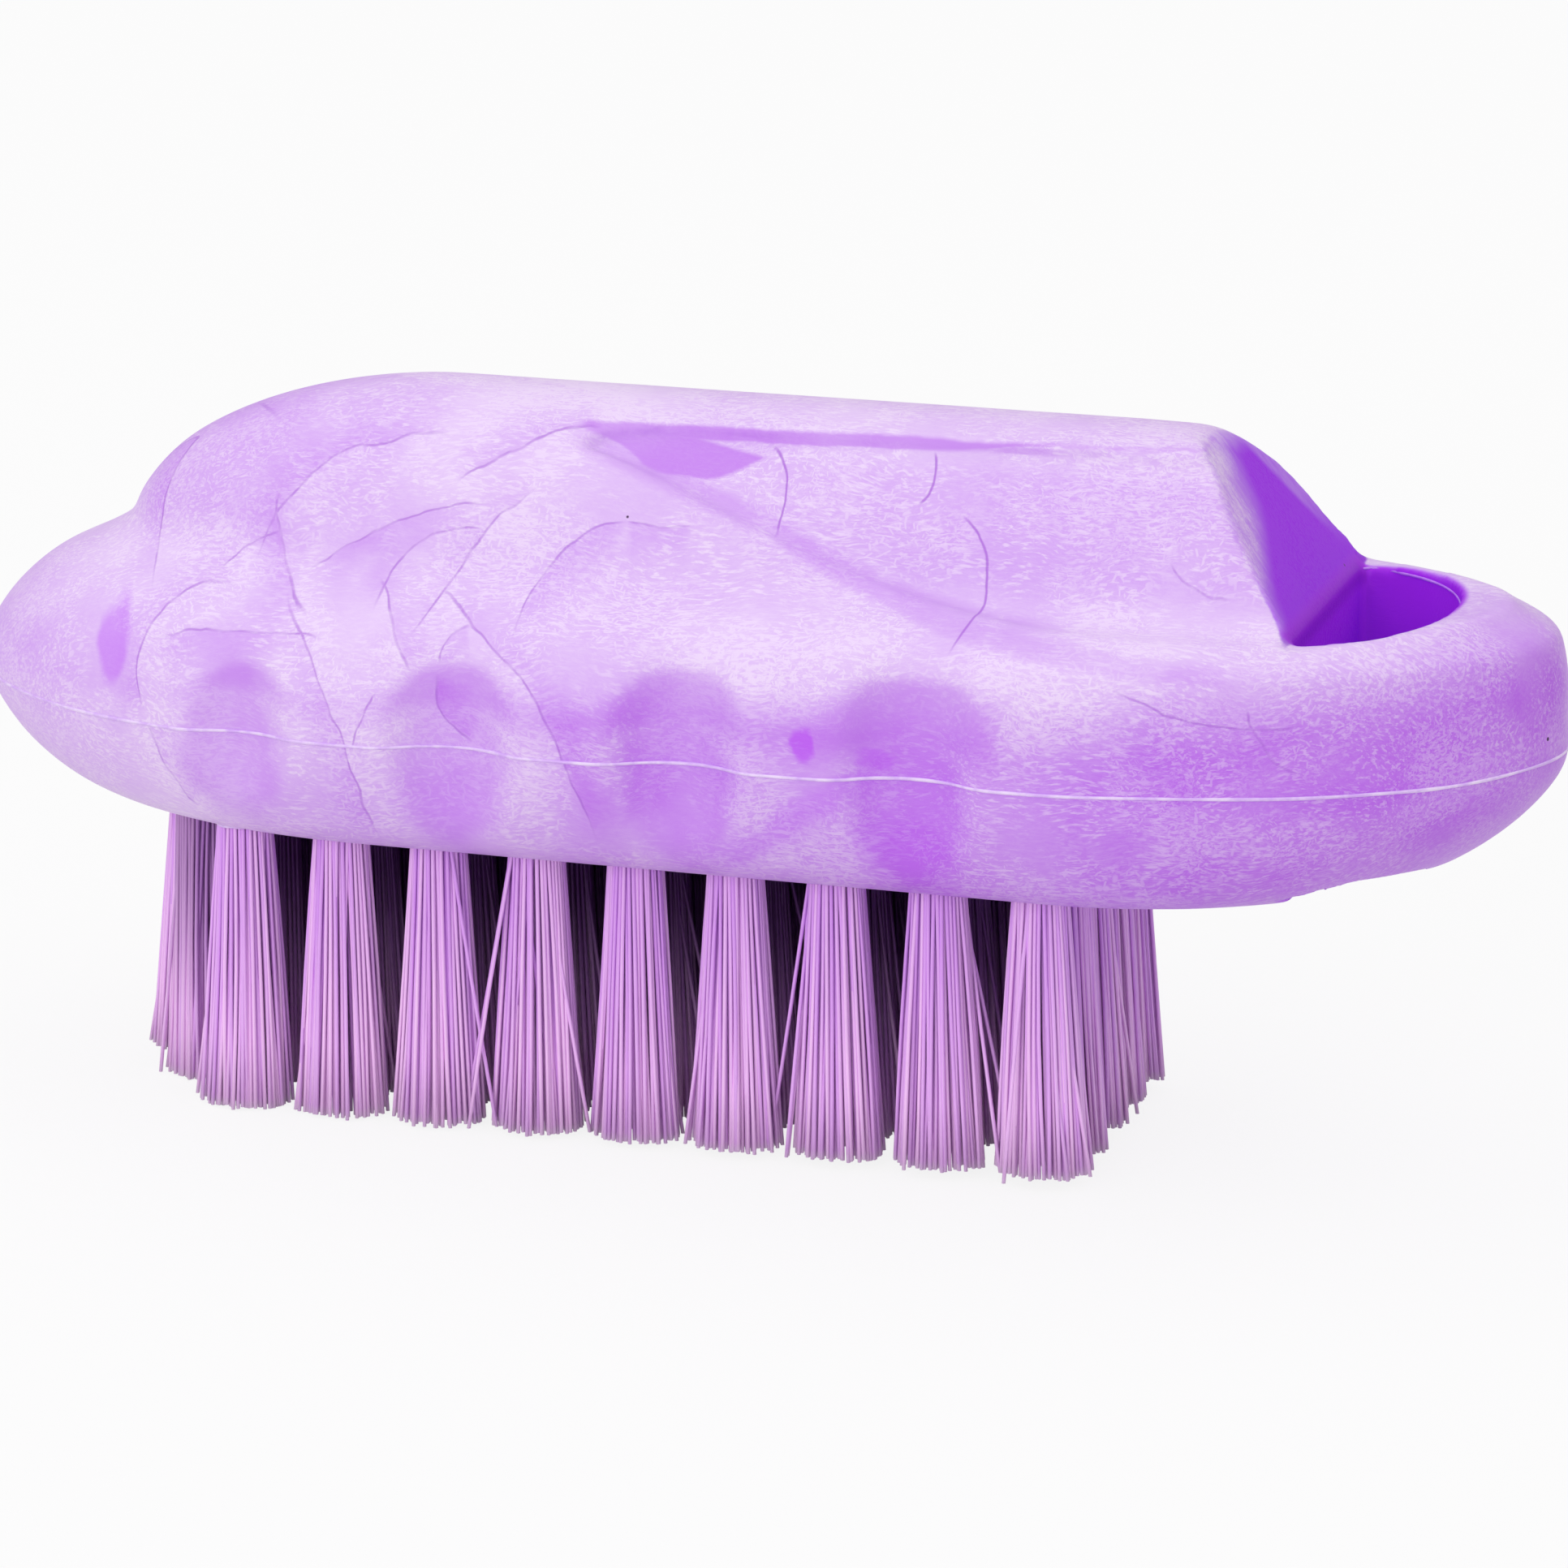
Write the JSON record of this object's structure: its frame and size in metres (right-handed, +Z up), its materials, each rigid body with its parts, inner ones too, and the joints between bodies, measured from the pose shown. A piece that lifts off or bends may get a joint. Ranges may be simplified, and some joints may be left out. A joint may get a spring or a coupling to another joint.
{
  "type": "nail brush",
  "caption": "Nail brush with a one-piece moulded body, a grip hump with a thumb recess, finger hollows along its sides, a hanging loop and trimmed bristle tufts under its flat base.",
  "frame": {"origin": "under the middle of the overall box, at the level of the bristle tips", "axes": "X runs along the brush with the hanging loop at +X, Y runs across it, Z points up from the bristle tips to the grip hump"},
  "size_m": [0.1111, 0.0378, 0.0496],
  "materials": {
    "body": "satin, marbled",
    "bristle": "satin",
    "wire": "drawn"
  },
  "bodies": {
    "root": {"anchors_arc": "wire", "anchors_row_1": "wire", "anchors_row_2": "wire", "anchors_row_3": "wire", "anchors_row_4": "wire", "anchors_row_5": "wire", "brush_body": "body", "tuft_arc_1": "bristle", "tuft_arc_2": "bristle", "tuft_arc_3": "bristle", "tuft_row_1_column_1": "bristle", "tuft_row_1_column_2": "bristle", "tuft_row_1_column_3": "bristle", "tuft_row_1_column_4": "bristle", "tuft_row_1_column_5": "bristle", "tuft_row_1_column_6": "bristle", "tuft_row_1_column_7": "bristle", "tuft_row_1_column_8": "bristle", "tuft_row_1_column_9": "bristle", "tuft_row_2_column_1": "bristle", "tuft_row_2_column_2": "bristle", "tuft_row_2_column_3": "bristle", "tuft_row_2_column_4": "bristle", "tuft_row_2_column_5": "bristle", "tuft_row_2_column_6": "bristle", "tuft_row_2_column_7": "bristle", "tuft_row_2_column_8": "bristle", "tuft_row_2_column_9": "bristle", "tuft_row_3_column_1": "bristle", "tuft_row_3_column_2": "bristle", "tuft_row_3_column_3": "bristle", "tuft_row_3_column_4": "bristle", "tuft_row_3_column_5": "bristle", "tuft_row_3_column_6": "bristle", "tuft_row_3_column_7": "bristle", "tuft_row_3_column_8": "bristle", "tuft_row_3_column_9": "bristle", "tuft_row_4_column_1": "bristle", "tuft_row_4_column_2": "bristle", "tuft_row_4_column_3": "bristle", "tuft_row_4_column_4": "bristle", "tuft_row_4_column_5": "bristle", "tuft_row_4_column_6": "bristle", "tuft_row_4_column_7": "bristle", "tuft_row_4_column_8": "bristle", "tuft_row_4_column_9": "bristle", "tuft_row_5_column_1": "bristle", "tuft_row_5_column_2": "bristle", "tuft_row_5_column_3": "bristle", "tuft_row_5_column_4": "bristle", "tuft_row_5_column_5": "bristle", "tuft_row_5_column_6": "bristle", "tuft_row_5_column_7": "bristle", "tuft_row_5_column_8": "bristle", "tuft_row_5_column_9": "bristle"}
  },
  "joints": []
}
